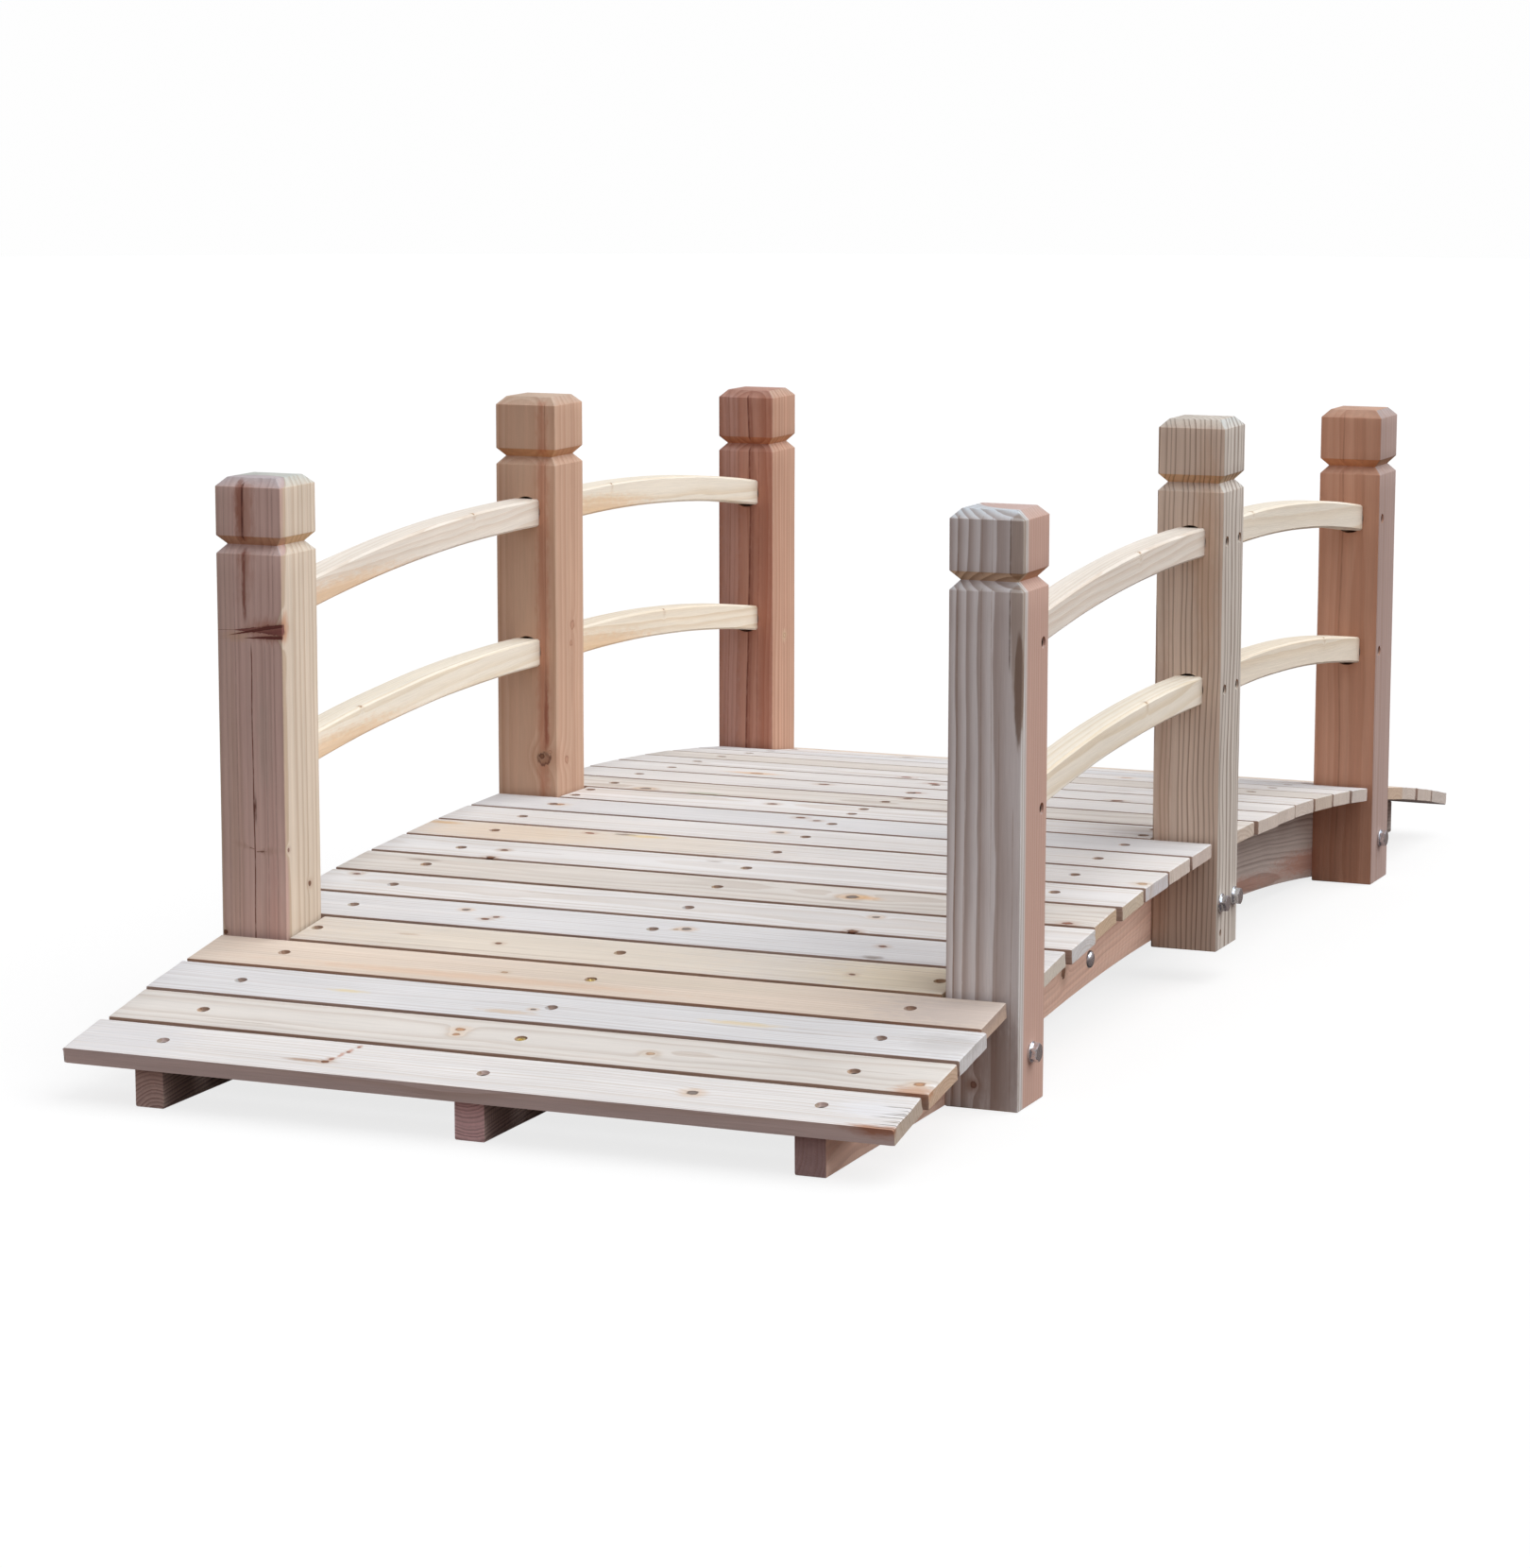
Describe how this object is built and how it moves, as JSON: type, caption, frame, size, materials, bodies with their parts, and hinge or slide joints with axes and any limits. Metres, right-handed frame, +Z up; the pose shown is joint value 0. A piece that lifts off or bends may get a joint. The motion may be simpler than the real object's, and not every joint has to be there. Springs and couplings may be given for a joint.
{
  "type": "arched garden bridge",
  "caption": "Small arched timber footbridge for a garden: plank deck on three curved stringers, with square posts and two bowed rails on each side.",
  "frame": {"origin": "on the ground under the middle of the bridge", "axes": "+Y along the walkway, +X across it to the right, +Z up"},
  "size_m": [0.6758, 1.532, 0.47],
  "materials": {
    "fir_plank": "sawn and planed, unfinished pale fir",
    "fir_post": "planed, unfinished red-brown fir",
    "fir_rail": "planed, unfinished cream fir",
    "fir_stringer": "sawn, unfinished brown fir",
    "zinc_steel": "bright zinc plating"
  },
  "bodies": {
    "root": {"bolts": "zinc_steel", "deck_board_01": "fir_plank", "deck_board_02": "fir_plank", "deck_board_03": "fir_plank", "deck_board_04": "fir_plank", "deck_board_05": "fir_plank", "deck_board_06": "fir_plank", "deck_board_07": "fir_plank", "deck_board_08": "fir_plank", "deck_board_09": "fir_plank", "deck_board_10": "fir_plank", "deck_board_11": "fir_plank", "deck_board_12": "fir_plank", "deck_board_13": "fir_plank", "deck_board_14": "fir_plank", "deck_board_15": "fir_plank", "deck_board_16": "fir_plank", "deck_board_17": "fir_plank", "deck_board_18": "fir_plank", "deck_board_19": "fir_plank", "deck_board_20": "fir_plank", "deck_board_21": "fir_plank", "deck_board_22": "fir_plank", "deck_board_23": "fir_plank", "deck_board_24": "fir_plank", "deck_board_25": "fir_plank", "post_left_far": "fir_post", "post_left_middle": "fir_post", "post_left_near": "fir_post", "post_right_far": "fir_post", "post_right_middle": "fir_post", "post_right_near": "fir_post", "rail_left_far_lower": "fir_rail", "rail_left_far_upper": "fir_rail", "rail_left_near_lower": "fir_rail", "rail_left_near_upper": "fir_rail", "rail_right_far_lower": "fir_rail", "rail_right_far_upper": "fir_rail", "rail_right_near_lower": "fir_rail", "rail_right_near_upper": "fir_rail", "splice_left": "fir_stringer", "splice_right": "fir_stringer", "stringer_left_far": "fir_stringer", "stringer_left_near": "fir_stringer", "stringer_middle_far": "fir_stringer", "stringer_middle_near": "fir_stringer", "stringer_right_far": "fir_stringer", "stringer_right_near": "fir_stringer"}
  },
  "joints": []
}
